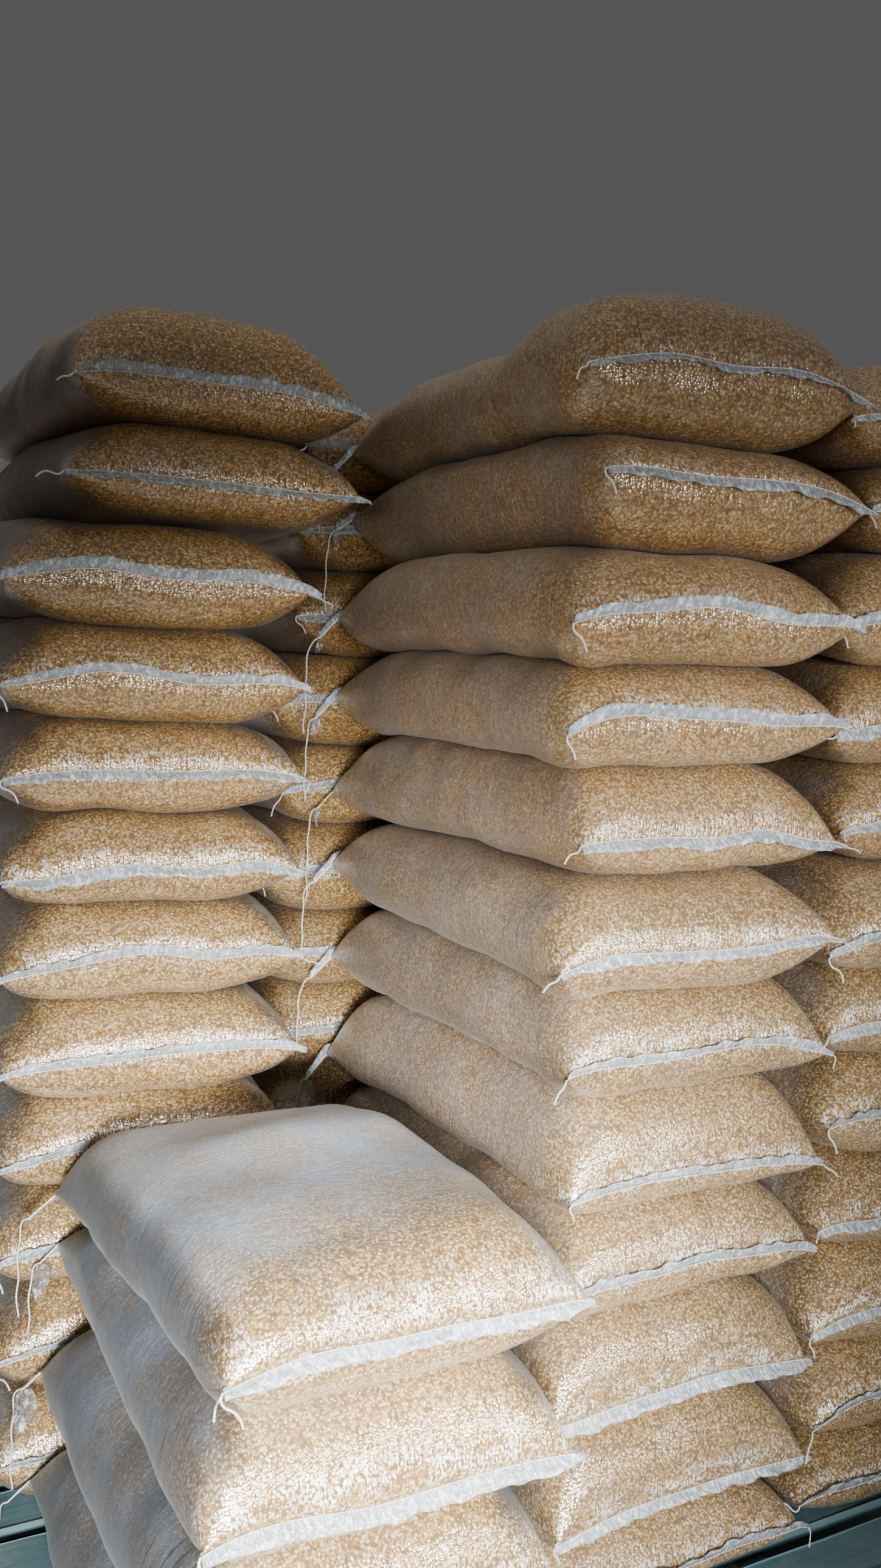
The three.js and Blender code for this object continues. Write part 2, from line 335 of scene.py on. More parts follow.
class Sack:
    """One filled sack: its two skins as grids of points in metres, and what its trim needs."""

    def __init__(self, stack, layer, twin):
        self.stack = stack
        self.layer = layer
        self.twin = twin
        self.name = f"{stack['name']}_{layer + stack.get('first', 1):02d}"
        self.rng = dice(self.name, twin)
        self.lay_out()
        self.shape()

    def lay_out(self):
        """Places every grid point in plan, in the stack's frame and in the row frame."""
        stack = self.stack
        mesh = stack["mesh"]
        self.width, self.length = stack_size(stack)
        along = edge_steps(NEAR_ROUND, FAR_ROUND, self.length, mesh["near"], mesh["far"], mesh["along"])
        across = edge_steps(SIDE_ROUND, SIDE_ROUND, SACK_WIDTH, mesh["side"], mesh["side"], mesh["across"])
        along_shares = 2 * along / self.length
        across_shares = 2 * across / SACK_WIDTH
        share_along, share_across = np.meshgrid(along_shares, across_shares, indexing="ij")
        outline = wave_field(self.rng, *SIDE_WAVE)
        half_width = SACK_WIDTH / 2 - WAIST * share_along ** 2
        self.x = share_across * (half_width + outline(share_along * 400, share_across * 90))
        self.y = share_along * self.length / 2
        self.side_inset = half_width * (1 - np.abs(share_across))
        tapered = (share_across > 0) | (stack["taper"] == "both")
        taper = CORNER_TAPER * smooth_step(-share_along) * tapered
        self.side_round = SIDE_ROUND + taper
        self.near_inset = self.y + self.length / 2
        self.far_inset = self.length / 2 - self.y
        aside = 0 if self.twin is None else (self.twin - 0.5) * (SACK_WIDTH + TWIN_GAP)
        right, back, turn = stack["drift"][self.layer]
        angle = math.radians(turn)
        from_x = self.x + aside + self.width / 2
        from_y = self.y + self.length / 2
        self.stack_x = from_x * math.cos(angle) - from_y * math.sin(angle) - self.width / 2 + right
        self.stack_y = from_x * math.sin(angle) + from_y * math.cos(angle) - self.length / 2 + back
        self.place_x = CORNER[0] + stack["x"] + self.width / 2 + self.stack_x
        self.place_y = CORNER[1] + stack["y"] + self.length / 2 + self.stack_y
        self.outward = Vector((math.sin(angle), -math.cos(angle), 0))
        self.rightward = Vector((math.cos(angle), math.sin(angle), 0))

    def shape(self):
        """Raises the skins between the layer's lower and upper resting surface."""
        stack = self.stack
        x, y = self.stack_x, self.stack_y
        self.is_top = self.layer == len(stack["layers"]) - 1 and not stack.get("covered")
        gap = REST_GAP if self.layer == 0 else CONTACT_GAP / 2
        bottom = resting_height(stack, self.layer, x, y) + gap
        if self.is_top:
            top = crown_height(stack, x, y)
        else:
            top = resting_height(stack, self.layer + 1, x, y) - CONTACT_GAP / 2
        share = stack["seams"][self.layer] if "seams" in stack else stack["seam"]
        far_share = stack["far_seams"][self.layer] if "far_seams" in stack else share
        share = share + (far_share - share) * smooth_step(0.5 + self.y / self.length)
        seam = bottom + share * (top - bottom) + wave_field(self.rng, *SEAM_WAVE)(x, y)
        self.full = (
            fullness(self.near_inset, NEAR_ROUND)
            * fullness(self.far_inset, FAR_ROUND)
            * fullness(self.side_inset, self.side_round)
        )
        upper = np.stack([self.place_x, self.place_y, seam + self.full * (top - seam)], axis=-1)
        lower = np.stack([self.place_x, self.place_y, seam - self.full * (seam - bottom)], axis=-1)
        self.upper = self.plump(upper, 1) * MM
        self.lower = self.plump(lower, -1) * MM

    def plump(self, skin, sign):
        """Swells the free shoulders of a skin, and makes them uneven."""
        tangent_along = np.gradient(skin, axis=0)
        tangent_across = np.gradient(skin, axis=1)
        normal = np.cross(tangent_across, tangent_along)
        normal /= np.maximum(np.linalg.norm(normal, axis=-1, keepdims=True), 1e-9)
        normal *= sign
        shoulder = 2 * self.full * np.sqrt(1 - self.full ** 2)
        facing_end = np.clip(1 - self.near_inset / NEAR_ROUND, 0, 1)
        rise = SIDE_BULGE + (END_BULGE - SIDE_BULGE) * facing_end
        uneven = wave_field(self.rng, *SKIN_WAVE)
        rise = rise + uneven(self.x + 300 * sign, self.y)
        if self.name == "main_sack_12":
            for place, depth, width in TOP_FOLDS:
                rise = rise - depth * np.exp(-((self.near_inset - place) / width) ** 2) * (self.x < 0)
        return skin + normal * (shoulder * rise)[..., None]

    def facing_side(self):
        """How far each point has turned towards the long side, from 0 on the flat to 1."""
        return np.clip(1 - self.side_inset / SIDE_ROUND, 0, 1)

    def haze(self):
        """Where the film looks milky and carries painted sheen: on the long sides, and on top well in from
        the sewn end.
        """
        stack = self.stack
        inset = self.near_inset + wave_field(self.rng, *HAZE_WAVE)(self.x, self.y)
        on_side = ramp_up(self.facing_side(), SIDE_HAZE) * ramp_up(inset, HAZE_BESIDE_END)
        left_start, right_start = stack.get("haze_starts", HAZE_STARTS)
        start = left_start + (right_start - left_start) * (self.x / SACK_WIDTH + 0.5)
        on_top = ramp_up(inset, (start, HAZE_OVER)) * smooth_step(self.near_inset / CLEAR_FACE)
        facing_far = np.clip(1 - self.far_inset / FAR_ROUND, 0, 1)
        kept = 1 - stack.get("far_clear", FAR_CLEAR) * facing_far
        return np.maximum(stack["milk_and_sheen"] * np.maximum(on_side, on_top) * kept, stack.get("veil", 0))

    def seam_pull(self):
        """How taut the nearer seam pulls the film: 1 at the seam, fading along the skin."""
        steps = np.linalg.norm(np.diff(self.upper, axis=0), axis=-1) / MM
        from_near = np.concatenate([np.zeros((1, steps.shape[1])), np.cumsum(steps, axis=0)])
        from_seam = np.minimum(from_near, from_near[-1] - from_near)
        return np.exp(-from_seam / self.stack.get("taut", SEAM_PULL))

    def film_values(self):
        """For the material: tone, coolness and seam pull as one vector, then painted shade and sheen,
        painted gleam and side.
        """
        stack = self.stack
        facing_side = self.facing_side()
        tone = np.full(self.x.shape, self.rng.random())
        cool = stack["cool"] * (0.9 + 0.1 * facing_side)
        # Painted gleam: the painted glints and the flakes fade with height, as less light reaches the top
        # of the pile
        dull = DULL_TOP * smooth_step((self.upper[..., 2].mean() - DULL_FROM) / DULL_OVER)
        # Painted shade: darker towards the long sides, from further out on a top sack, fading in from the
        # near end's face
        shaded = ramp_up(facing_side, TOP_SACK_SHADE if self.is_top else SIDE_SHADE)
        shaded = shaded * ramp_up(self.near_inset, SHADE_BESIDE_END)
        # Painted sheen: lighter over the top's far part, as if lit from the sky
        lifted = (1 - facing_side) * ramp_up(self.near_inset, FAR_TOP_SHEEN)
        return {
            "film": np.stack([tone, cool, self.seam_pull()], axis=-1),
            "dim": (1 - stack["dim"] * shaded) * (1 + stack.get("lift", 0) * lifted),
            "gleam": np.full(self.x.shape, 1 - dull),
            "side": ramp_up(facing_side, SIDE_CREASES),
        }

    def build(self):
        """The closed mesh: both skins, joined all round the outline."""
        rows, columns = self.x.shape
        index = np.arange(rows * columns).reshape(rows, columns)
        lower_index = index.copy()
        inner = np.zeros((rows, columns), bool)
        inner[1:-1, 1:-1] = True
        lower_index[inner] = rows * columns + np.arange(inner.sum())
        points = np.concatenate([self.upper.reshape(-1, 3), self.lower[inner]])

        def quads(grid, flip):
            corners = [grid[:-1, :-1], grid[:-1, 1:], grid[1:, 1:], grid[1:, :-1]]
            faces = np.stack(corners, axis=-1).reshape(-1, 4)
            return faces[:, ::-1] if flip else faces
        faces = np.concatenate([quads(index, False), quads(lower_index, True)])

        grids = self.film_values()
        grids["haze"] = self.haze()
        values = {}
        for name, grid in grids.items():
            flat = grid.reshape(rows * columns, -1)
            below = grid[inner].reshape(-1, flat.shape[1])
            if name == "film":
                below = below * (1, 1, PULL_BELOW)
            values[name] = np.concatenate([flat, below])
        return points, faces, values


def joined(parts):
    """The points, faces and values of several meshes as those of one."""
    faces = []
    shift = 0
    for points, some_faces, _ in parts:
        faces.append(some_faces + shift)
        shift += len(points)
    points = np.concatenate([part[0] for part in parts])
    values = {name: np.concatenate([part[2][name] for part in parts]) for name in parts[0][2]}
    return points, np.concatenate(faces), values


def link(name, data):
    made = bpy.data.objects.new(name, data)
    bpy.context.collection.objects.link(made)
    return made


def new_object(name, points, faces, material, values=None, smooth=True):
    """A mesh object in the row frame, with one number or vector a point for each named value."""
    mesh = bpy.data.meshes.new(name)
    mesh.from_pydata([tuple(p) for p in points], [], [tuple(int(i) for i in f) for f in faces])
    for label, numbers in (values or {}).items():
        numbers = np.asarray(numbers, dtype=np.float32)
        kind, key = ("FLOAT", "value") if numbers.shape[1] == 1 else ("FLOAT_VECTOR", "vector")
        mesh.attributes.new(label, kind, "POINT").data.foreach_set(key, numbers.ravel())
    mesh.polygons.foreach_set("use_smooth", [smooth] * len(mesh.polygons))
    mesh.materials.append(material)
    mesh.update()
    return link(name, mesh)


class Trim:
    """Points and faces of many small parts that make one piece."""

    def __init__(self):
        self.points = []
        self.faces = []

    def loops(self, rings):
        """A closed tube through rings of the same number of points, capped at both ends."""
        start = len(self.points)
        count = len(rings[0])
        for ring in rings:
            self.points.extend(ring)
        for k in range(len(rings) - 1):
            for i in range(count):
                a = start + k * count + i
                b = start + k * count + (i + 1) % count
                self.faces.append((a, b, b + count, a + count))
        self.faces.append(tuple(start + i for i in reversed(range(count))))
        last = start + (len(rings) - 1) * count
        self.faces.append(tuple(last + i for i in range(count)))


# Camera, floor and light

def add_camera():
    data = bpy.data.cameras.new("photo_camera")
    data.sensor_fit = "VERTICAL"
    data.sensor_height = SENSOR_HEIGHT
    data.lens = SENSOR_HEIGHT * FOCAL_PIXELS / PHOTO_HEIGHT
    data.clip_end = 60
    camera = link("photo_camera", data)
    forward = CAMERA_HEADING.normalized() * math.cos(CAMERA_PITCH) - UP * math.sin(CAMERA_PITCH)
    right = forward.cross(UP).normalized()
    up = right.cross(forward)
    rolled_right = right * math.cos(CAMERA_ROLL) + up * math.sin(CAMERA_ROLL)
    rolled_up = up * math.cos(CAMERA_ROLL) - right * math.sin(CAMERA_ROLL)
    turn = Matrix((rolled_right, rolled_up, -forward)).transposed()
    camera.matrix_world = Matrix.Translation(CAMERA_PLACE) @ turn.to_4x4()
    bpy.context.scene.camera = camera
    bpy.context.scene.view_settings.look = "AgX - Medium High Contrast"


def add_area_light(name, place, target, side, watts, spread, glossy):
    data = bpy.data.lights.new(name, "AREA")
    data.shape = "RECTANGLE"
    data.size = side
    data.size_y = side
    data.energy = watts
    data.color = DAYLIGHT
    data.spread = math.radians(spread)
    light = link(name, data)
    light.location = place
    light.rotation_euler = (Vector(target) - Vector(place)).to_track_quat("-Z", "Y").to_euler()
    light.visible_glossy = glossy


# Each light: where it is, what it points at, its side in metres, watts, spread in degrees, and
# whether it shines back from glossy film
DAYLIGHT = (0.97, 0.985, 1)
STUDIO_LIGHTS = (
    ("door", (-1.3, -4.3, 1.5), (-0.45, -0.9, 0.8), 0.6, 6, 36, True),
    ("doorway_left", (-1.6, -3.6, 1.3), (-0.6, -0.9, 0.7), 0.6, 15.5, 40, True),
    ("high_right", (0.3, -3.8, 1.4), (0.2, -0.8, 2.0), 0.6, 0.22, 44, True),
    ("left_side", (-2.6, -2.6, 1.6), (-0.15, -0.55, 1.95), 0.8, 0.8, 27, False),
    ("front_glare", (1.0, -3.4, 1.85), (-0.35, -0.9, 0.8), 0.5, 2.2, 24, True),
    ("mid_right", (0.6, -3.9, 1.7), (0.25, -0.8, 1.5), 0.5, 2.3, 26, True),
    ("front_fill", (-0.6, -6, 2), (-0.2, -0.8, 1.4), 3, 3, 120, False),
    ("overhead", (0.3, 1.3, 6.2), (0.1, 0.5, 2.2), 3, 20, 60, False),
    ("back_fill", (-0.6, 5.5, 0.95), (0, 0.8, 1.1), 1.7, 75, 120, False),
    ("right_fill", (5.5, 0.8, 0.95), (0.9, 0, 1.1), 1.7, 75, 120, True),
)


def add_stage():
    """A pale floor, a weak even world and the studio lights."""
    material, shader, _ = new_material("pale_floor")
    set_inputs(shader, {"Base Color": FLOOR_COLOUR, "Roughness": 0.8})
    half = FLOOR_SIDE / 2
    corners = [(-half, -half, 0), (half, -half, 0), (half, half, 0), (-half, half, 0)]
    floor = new_object("floor", corners, [(0, 1, 2, 3)], material, smooth=False)

    world = bpy.data.worlds.new("studio")
    bpy.context.scene.world = world
    world.use_nodes = True
    set_inputs(world.node_tree.nodes["Background"], {"Color": WORLD_COLOUR, "Strength": WORLD_STRENGTH})

    for light in STUDIO_LIGHTS:
        add_area_light(*light)


# Materials

def new_material(name):
    """A material with its shader and the place of each point in metres."""
    material = bpy.data.materials.new(name)
    material.use_nodes = True
    nodes = material.node_tree.nodes
    place = nodes.new("ShaderNodeTexCoord").outputs["Object"]
    return material, nodes["Principled BSDF"], place


def attribute(material, name, output="Fac"):
    """A value that the mesh carries at each point."""
    made = material.node_tree.nodes.new("ShaderNodeAttribute")
    made.attribute_name = name
    return made.outputs[output]


def is_link(value):
    return isinstance(value, bpy.types.NodeSocket)


def set_inputs(node, values):
    """Gives a node's inputs their numbers, and joins the links to them."""
    for key, value in values.items():
        socket = node.inputs[key]
        if is_link(value):
            socket.id_data.links.new(value, socket)
        else:
            socket.default_value = value


def add_node(kind, values, **settings):
    """A node's outputs, in the tree of its first link, with its settings and its inputs' values."""
    tree = next(value.id_data for value in values.values() if is_link(value))
    made = tree.nodes.new("ShaderNode" + kind)
    for key, value in settings.items():
        setattr(made, key, value)
    set_inputs(made, values)
    return made.outputs


def maths(operation, *values, clamp=False):
    """One number from one to three numbers or links, held between 0 and 1 where clamp is set."""
    return add_node("Math", dict(enumerate(values)), operation=operation, use_clamp=clamp)[0]


def product(first, *others):
    """Several numbers or links multiplied together."""
    for other in others:
        first = maths("MULTIPLY", first, other)
    return first


def vector_maths(operation, *values):
    made = add_node("VectorMath", dict(enumerate(values)), operation=operation)
    return made["Value" if operation == "DOT_PRODUCT" else "Vector"]


def scaled(vector, factor):
    """A vector or colour times one number."""
    return add_node("VectorMath", {0: vector, "Scale": factor}, operation="SCALE")["Vector"]


def blend(share, first, second):
    """A colour between two colours."""
    return add_node("Mix", {0: share, 6: first, 7: second}, data_type="RGBA")[2]


def mixed(share, first, second):
    """A number between two numbers."""
    return add_node("Mix", {0: share, 2: first, 3: second}, data_type="FLOAT")[0]


def between(value, low, high, low_out=0, high_out=1):
    """value taken smoothly from one range to another."""
    values = {"Value": value, "From Min": low, "From Max": high, "To Min": low_out, "To Max": high_out}
    return add_node("MapRange", values, interpolation_type="SMOOTHSTEP")["Result"]


def stretched(vector, scale):
    return vector_maths("MULTIPLY", vector, scale)


def noise(vector, scale, detail=2, roughness=0.5):
    values = {"Vector": vector, "Scale": scale, "Detail": detail, "Roughness": roughness}
    return add_node("TexNoise", values)["Fac"]


def long_noise(place, scales, detail=2, roughness=0.5):
    """Noise drawn out along some axes: its scale a metre on each axis."""
    return noise(stretched(place, scales), 1, detail, roughness)


def cell_noise(vector, randomness=1):
    """Cells one unit wide, with their distance from the middle, their place and a colour each."""
    return add_node("TexVoronoi", {"Vector": vector, "Scale": 1, "Randomness": randomness})


def relief_normal(height, depth=1, strength=1):
    """The normal of a height that is depth metres for each unit."""
    return add_node("Bump", {"Height": height, "Strength": strength, "Distance": depth})["Normal"]


def colour_ramp(value, stops):
    colour = add_node("ValToRGB", {"Fac": value})["Color"]
    elements = colour.node.color_ramp.elements
    while len(elements) < len(stops):
        elements.new(0.5)
    for element, (place, shade) in zip(elements, stops):
        element.position = place
        element.color = (*shade, 1)
    return colour


# Maize: the kernels' number a metre, how far noise bends their cells, and their colours from dark
# to light with each one's place on the ramp
KERNELS_PER_METRE = 225
KERNEL_WOBBLE = 0.45
KERNEL_COLOURS = (
    (0, (0.25, 0.146, 0.06)),
    (0.3, (0.37, 0.227, 0.09)),
    (0.62, (0.485, 0.322, 0.125)),
    (0.88, (0.6, 0.445, 0.195)),
    (1, (0.65, 0.555, 0.385)),
)
KERNEL_TIP = (0.72, 0.68, 0.54, 1)
KERNEL_ORANGE = (0.48, 0.26, 0.065, 1)
KERNEL_GAP = (0.15, 0.085, 0.035, 1)

# A kernel's pale flake is a thin ellipsoid: how fast it ends across and along itself
FLAKE_ACROSS = 36
FLAKE_ALONG = 4.6

# Film: the painted glints, the threads of its weave, the painted shade in its creases, and its haze, milky
# film with painted sheen, on warm and cool stacks
PAINTED_GLINT = (0.88, 0.91, 0.93, 1)
FILM_THREAD = (0.46, 0.44, 0.41, 1)
PAINTED_CREASE_SHADE = (0.1, 0.08, 0.065, 1)
HAZE_AND_SHEEN_WARM = (0.246, 0.204, 0.192, 1)
HAZE_AND_SHEEN_COOL = (0.275, 0.33, 0.4, 1)
LEAST_HAZE = 0.07

# Painted light: what the colours at the dim top of the pile are multiplied by, a warm tint standing in for
# light bounced between the sacks
PAINTED_BOUNCE_WARMTH = (1.05, 0.96, 0.84, 1)

# How fine each pattern in the film is, a metre, across, along and up the sacks
WEAVE_SCALE = (45, 330, 30)
GLARE_SPOTS = (300, 140, 140)
GLARE_CLUSTERS = (22, 34, 34)
UPRIGHT_CREASES = (12, 230, 9)
STRAY_CREASES = (2, 6, 3)
SEAM_CREASES = (330, 80, 80)
END_PUCKERS = (150, 18, 18)
SIDE_PUCKERS = (18, 190, 14)

# The pull at which the film begins to look drawn by the seam, and at which it is fully so
NEAR_SEAM = (0.03, 0.75)

# How deep each kind of relief is, in metres
KERNEL_RELIEF = 0.0009
PUCKER_RELIEF = 0.0022
CREASE_RELIEF = 0.0016
WEAVE_RELIEF = 0.00016


def kernel_pattern(place):
    """The kernels: their colour, their flakes, the share of them painted as glints, and the way from the
    middle.
    """
    wobble = add_node("TexNoise", {"Vector": place, "Scale": 70, "Detail": 1})
    bend = scaled(wobble["Color"], KERNEL_WOBBLE)
    cells_at = vector_maths("ADD", stretched(place, (KERNELS_PER_METRE,) * 3), bend)
    cells = cell_noise(cells_at, 0.95)
    shades = add_node("SeparateColor", {"Color": cells["Color"]})

    # The flake: an ellipsoid in each cell, turned by the cell's own colour
    turn = vector_maths("SUBTRACT", cells["Color"], (0.5,) * 3)
    heading = vector_maths("NORMALIZE", turn)
    offset = vector_maths("SUBTRACT", cells_at, cells["Position"])
    through = vector_maths("DOT_PRODUCT", offset, heading)
    through_squared = product(through, through)
    offset_squared = vector_maths("DOT_PRODUCT", offset, offset)
    aside_squared = maths("SUBTRACT", offset_squared, through_squared)
    along = product(aside_squared, FLAKE_ALONG)
    reach = maths("MULTIPLY_ADD", through_squared, FLAKE_ACROSS, along)
    flake = product(between(reach, 1.25, 0.7), between(shades["Green"], 0.3, 0.7))
    # Some flakes are painted white as glints
    white = between(shades["Green"], 0.8, 0.95)

    # The body: some kernels are orange, and there are dark gaps and a few dark specks
    body = colour_ramp(shades["Red"], KERNEL_COLOURS)
    body = blend(between(shades["Blue"], 0.68, 0.9, 0, 0.75), body, KERNEL_ORANGE)
    speck = between(shades["Blue"], 0.14, 0.04, 0, 0.7)
    gap = maths("MAXIMUM", between(cells["Distance"], 0.5, 0.72, 0, 0.75), speck)
    return blend(gap, body, KERNEL_GAP), flake, white, cells["Distance"]


def film_weave(place, cool):
    """The hazy film's colour, milky film with painted sheen, in cloudy patches with fine threads, and its
    weave.
    """
    weave = long_noise(place, WEAVE_SCALE, 3, 0.7)
    cloud = between(noise(place, 11, 3), 0.35, 0.65, -0.2, 0.12)
    tint = blend(maths("ADD", cool, cloud, clamp=True), HAZE_AND_SHEEN_WARM, HAZE_AND_SHEEN_COOL)
    tint = blend(between(weave, 0.42, 0.68, 0, 0.5), tint, FILM_THREAD)
    return scaled(tint, between(weave, 0.32, 0.62, 0.86, 1.08)), weave


def with_flakes(colour, flake, white, haze, gleam, pull):
    """Pale flakes that touch the film, partly kernel tips and partly painted glints: clearest by the seam,
    where they turn to painted glints, and weak under the haze.
    """
    least = product(haze, 0.7)
    shown = product(
        maths("POWER", flake, between(haze, 0, 1, 1, 1.8)),
        between(haze, 0, 1, 0.8, 0.68),
        between(pull, *NEAR_SEAM, 1, 1.6),
    )
    shown = maths("MULTIPLY", shown, maths("MAXIMUM", gleam, least), clamp=True)
    clear = maths("SUBTRACT", 1, haze, clamp=True)
    # By the seam, and on the cells picked above, the flakes are painted as glints
    white = maths("MAXIMUM", between(pull, *NEAR_SEAM), product(white, gleam))
    return blend(shown, colour, blend(product(white, clear), KERNEL_TIP, PAINTED_GLINT))


def with_glare(colour, place, haze, gleam, pull):
    """White spots in clusters above the seam, where the taut film mirrors the daylight."""
    spots = cell_noise(stretched(place, GLARE_SPOTS))
    glare = product(
        between(spots["Distance"], 0.5, 0.4),
        between(long_noise(place, GLARE_CLUSTERS), 0.48, 0.55),
        between(pull, 0.36, 0.62),
        between(pull, 0.95, 0.82),
        between(haze, 0, 0.7, 1, 0),
        gleam,
    )
    return blend(glare, colour, PAINTED_GLINT)


def with_creases(colour, place, haze, pull, side):
    """Painted shade of upright creases on the long sides, beside the sewn ends and here and there between.
    """
    upright = between(long_noise(place, UPRIGHT_CREASES, 1), 0.6, 0.68)
    strayed = between(long_noise(place, STRAY_CREASES, 1), 0.6, 0.7)
    gathered = maths("MAXIMUM", between(pull, 0.005, 0.1), strayed)
    # Painted shade: near-black lines where the film creases
    crease_shade = product(upright, gathered, side, haze, 0.75)
    return blend(crease_shade, colour, PAINTED_CREASE_SHADE)


def film_relief(place, haze, weave, pull, off_middle):
    """Kernels felt through the film, its weave, and puckers and creases drawn by the seam."""
    end_puckers = long_noise(place, END_PUCKERS)
    side_puckers = long_noise(place, SIDE_PUCKERS)
    puckers = mixed(haze, end_puckers, side_puckers)
    pulled = product(puckers, maths("MULTIPLY_ADD", pull, 1.3, 0.15))
    felt = maths("SUBTRACT", 1, product(haze, 0.75))
    kernels = product(maths("SUBTRACT", 1, off_middle), felt)
    creases = product(long_noise(place, SEAM_CREASES), pull)
    relief = product(pulled, PUCKER_RELIEF)
    for part, depth in ((kernels, KERNEL_RELIEF), (weave, WEAVE_RELIEF), (creases, CREASE_RELIEF)):
        relief = maths("MULTIPLY_ADD", part, depth, relief)
    return relief_normal(relief)


def maize_in_film():
    """Maize seen through clear woven film: kernels at the sewn ends, elsewhere a haze that is partly milky
    film and partly painted sheen.
    """
    material, shader, place = new_material("maize_in_film")
    haze = attribute(material, "haze")
    gleam = attribute(material, "gleam")
    side = attribute(material, "side")
    tone, cool, pull = add_node("SeparateXYZ", {"Vector": attribute(material, "film", "Vector")})

    body, flake, white, off_middle = kernel_pattern(place)
    woven, weave = film_weave(place, cool)
    # The haze blended into the colour is partly milky film and partly painted sheen, the film's slanting
    # reflection
    patches = between(noise(place, 11), 0.3, 0.62, 0.6, 0.9)
    thick = maths("ADD", product(haze, patches), LEAST_HAZE)
    colour = blend(thick, body, woven)
    colour = with_flakes(colour, flake, white, haze, gleam, pull)
    colour = with_glare(colour, place, haze, gleam, pull)
    colour = with_creases(colour, place, haze, pull, side)
    # Painted warm bounce light, strongest where the painted gleam is weakest, at the top of the pile
    bounce_warmed = vector_maths("MULTIPLY", colour, blend(gleam, PAINTED_BOUNCE_WARMTH, (1, 1, 1, 1)))
    # Each sack's random tone times the painted shade and sheen
    shade = product(between(tone, 0, 1, 0.92, 1.06), attribute(material, "dim"))
    normal = film_relief(place, haze, weave, pull, off_middle)
    set_inputs(shader, {
        "Base Color": scaled(bounce_warmed, shade),
        "Normal": normal,
        "Coat Normal": normal,
        "Roughness": between(haze, 0, 1, 0.16, 0.6),
        "Coat Weight": between(haze, 0, 0.7, 0.7, 0),
        "Coat Roughness": 0.13,
        "Coat IOR": 2.2,
        "Specular IOR Level": 1,
        "Sheen Weight": 0.08,
        "Sheen Roughness": 0.4,
    })
    return material


def clear_film(name, plain, thinnest, thickest):
    """Empty film: see-through and glossy, with bright folds across it painted as highlights."""
    material, shader, place = new_material(name)
    folds = long_noise(place, FOLD_SCALE, 3, 0.65)
    normal = relief_normal(folds, 0.007)
    set_inputs(shader, {
        # Painted highlights: the folds are painted in the glint colour
        "Base Color": blend(between(folds, 0.5, 0.66), plain, PAINTED_GLINT),
        "Alpha": between(folds, 0.36, 0.64, thinnest, thickest),
        "Normal": normal,
        "Coat Normal": normal,
        "Roughness": 0.16,
        "Coat Weight": 0.9,
        "Coat Roughness": 0.12,
        "Coat IOR": 2.2,
    })
    return material


def white_thread():
    material, shader, place = new_material("white_thread")
    colour = blend(noise(place, 900), *THREAD_COLOURS)
    set_inputs(shader, {"Base Color": colour, "Roughness": 0.75})
    return material


def painted_timber():
    """Blue-green paint, thin and worn along the grain of the boards."""
    material, shader, place = new_material("painted_timber")
    grain = long_noise(place, GRAIN_SCALE, 4, 0.6)
    patch = noise(place, 6, 4, 0.6)
    paint = blend(patch, *PAINT_COLOURS)
    wood = blend(grain, *WOOD_COLOURS)
    worn = between(maths("ADD", product(grain, 0.6), patch), 0.86, 1.02)
    dust = between(noise(place, 25, 3), 0.45, 0.8, 0, 0.35)
    set_inputs(shader, {
        "Base Color": blend(dust, blend(worn, paint, wood), DUST),
        "Roughness": between(worn, 0, 1, 0.5, 0.85),
        "Normal": relief_normal(grain, 0.0015, 0.8),
    })
    return material


# The sewn ends

def seam_line(sack, end):
    """The points of a sack's outline along one sewn end, left to right, in metres."""
    row = 0 if end == "near" else -1
    return [Vector(p) for p in sack.upper[row]]


def resample(points, count):
    """Evenly spaced points along a line."""
    lengths = [0]
    for a, b in zip(points, points[1:]):
        lengths.append(lengths[-1] + (b - a).length)
    spots = np.linspace(0, lengths[-1], count)
    columns = [np.interp(spots, lengths, [p[axis] for p in points]) for axis in range(3)]
    return [Vector(p) for p in zip(*columns)]


def sheet_ring(points, facing):
    """A ring round one row of points in a thin sheet of film."""
    out = facing * FLAP_THICK / 2 * MM
    return [point + out for point in points] + [point - out for point in reversed(points)]


